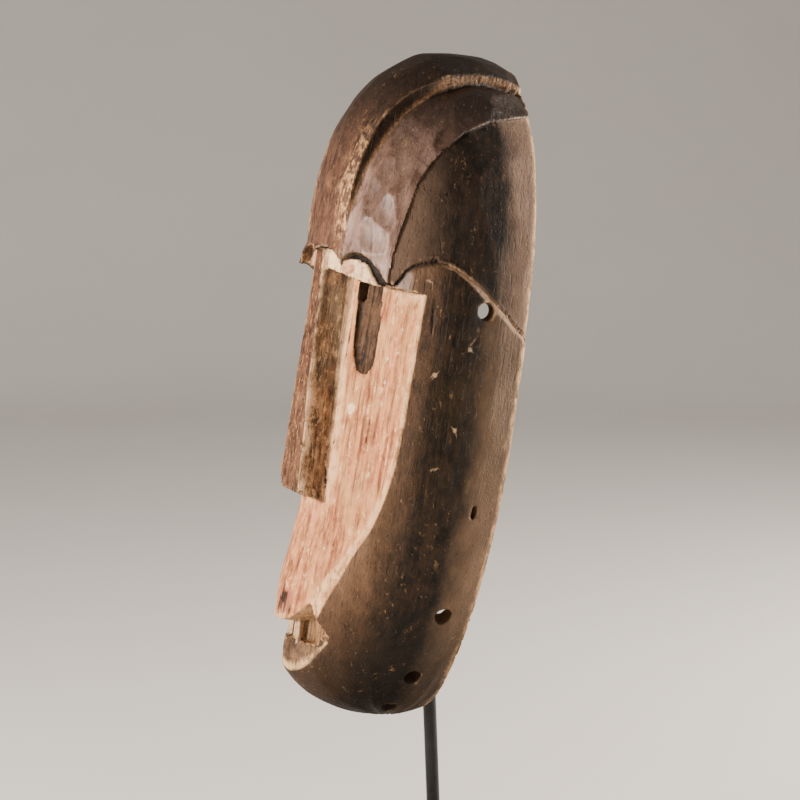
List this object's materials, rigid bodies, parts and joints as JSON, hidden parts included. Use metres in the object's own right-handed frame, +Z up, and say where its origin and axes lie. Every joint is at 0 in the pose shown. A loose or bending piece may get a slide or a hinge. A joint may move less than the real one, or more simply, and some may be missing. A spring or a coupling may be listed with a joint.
{
  "type": "boa mask",
  "caption": "Long hollow carved wooden face mask with a raised crest, scalloped brow and bar nose, held upright on a slim black rod with a square foot.",
  "frame": {"origin": "middle of the stand foot's underside", "axes": "+Z up along the mask's height, -Y the way the face looks, +X to the mask's own left"},
  "size_m": [0.1616, 0.1534, 0.5098],
  "materials": {
    "mask_wood": "hand-carved, worn dark patina with traces of red and white pigment",
    "rod_steel": "satin black",
    "foot_steel": "fine matt black"
  },
  "bodies": {
    "root": {"mask": "mask_wood", "stand_rod": "rod_steel", "stand_foot": "foot_steel"}
  },
  "joints": []
}
